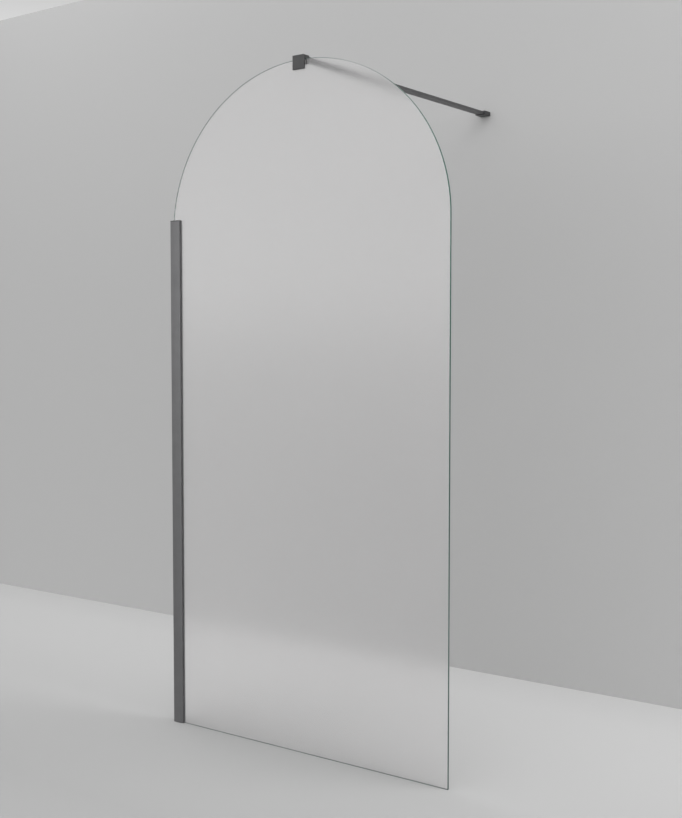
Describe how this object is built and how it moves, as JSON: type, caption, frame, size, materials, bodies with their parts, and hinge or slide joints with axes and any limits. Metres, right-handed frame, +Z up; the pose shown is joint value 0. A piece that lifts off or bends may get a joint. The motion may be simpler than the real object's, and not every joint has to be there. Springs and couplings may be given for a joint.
{
  "type": "walk-in shower screen",
  "caption": "Flat frosted glass shower screen with an arched top, a channel along one side that fixes to a side wall and a bar from the top of the arch to the wall behind.",
  "frame": {"origin": "on the wall face of the wall profile, at floor level, in the middle of the glass thickness", "axes": "+X along the panel from the wall profile to the free edge, +Y back along the bar to the wall behind, +Z up"},
  "size_m": [1.005, 1.0727, 2.0115],
  "materials": {
    "gunmetal_aluminium": "dark gunmetal, satin",
    "gunmetal_casting": "dark gunmetal, satin",
    "stainless_steel": "plain, machined",
    "black_seal": "matt black",
    "clear_pad": "translucent, matt",
    "frosted_glass": "satin-etched faces, polished green edges"
  },
  "bodies": {
    "profile": {"wall_profile": "gunmetal_aluminium", "profile_top_cap": "gunmetal_aluminium", "profile_lock_screws": "stainless_steel", "lock_screw_cups": "stainless_steel", "lock_screw_covers": "gunmetal_aluminium", "lock_nuts": "stainless_steel"},
    "glass": {"glass_carrier": "gunmetal_aluminium", "front_glazing_seal": "black_seal", "rear_glazing_seal": "black_seal", "glass_panel": "frosted_glass"},
    "clamp": {"clamp_body": "gunmetal_casting", "clamp_front_pad": "clear_pad", "clamp_edge_pad": "clear_pad", "bar_lock_screw": "stainless_steel", "support_bar": "gunmetal_aluminium"},
    "clamp_jaw": {"clamp_pressure_plate": "stainless_steel", "clamp_rear_pad": "clear_pad"},
    "left_clamp_screw": {"clamp_screw_left": "stainless_steel"},
    "right_clamp_screw": {"clamp_screw_right": "stainless_steel"},
    "bracket": {"wall_bracket": "gunmetal_casting", "bracket_lock_screws": "stainless_steel"}
  },
  "joints": [
    {"name": "glass_adjust", "type": "slide", "parent": "profile", "child": "glass", "axis": [1, 0, 0], "range_m": [0, 0.012]},
    {"name": "clamp_shift", "type": "slide", "parent": "glass", "child": "clamp", "axis": [1, 0, 0], "range_m": [-0.012, 0]},
    {"name": "clamp_grip", "type": "slide", "parent": "clamp", "child": "clamp_jaw", "axis": [0, 1, 0], "range_m": [0, 0.0012]},
    {"name": "left_clamp_screw_turn", "type": "hinge", "parent": "clamp_jaw", "child": "left_clamp_screw", "pos_m": [0.493, 0.006, 1.99195], "axis": [0, 1, 0], "range_deg": [0, 541]},
    {"name": "right_clamp_screw_turn", "type": "hinge", "parent": "clamp_jaw", "child": "right_clamp_screw", "pos_m": [0.517, 0.006, 1.99195], "axis": [0, 1, 0], "range_deg": [0, 541]},
    {"name": "bracket_slide", "type": "slide", "parent": "clamp", "child": "bracket", "axis": [0, 1, 0], "range_m": [-0.007, 0.01]}
  ],
  "couplings": [
    {"joint": "clamp_shift", "follows": "glass_adjust", "ratio": -1},
    {"joint": "left_clamp_screw_turn", "follows": "clamp_grip", "rad_per_m": 7854},
    {"joint": "right_clamp_screw_turn", "follows": "clamp_grip", "rad_per_m": 7854}
  ]
}
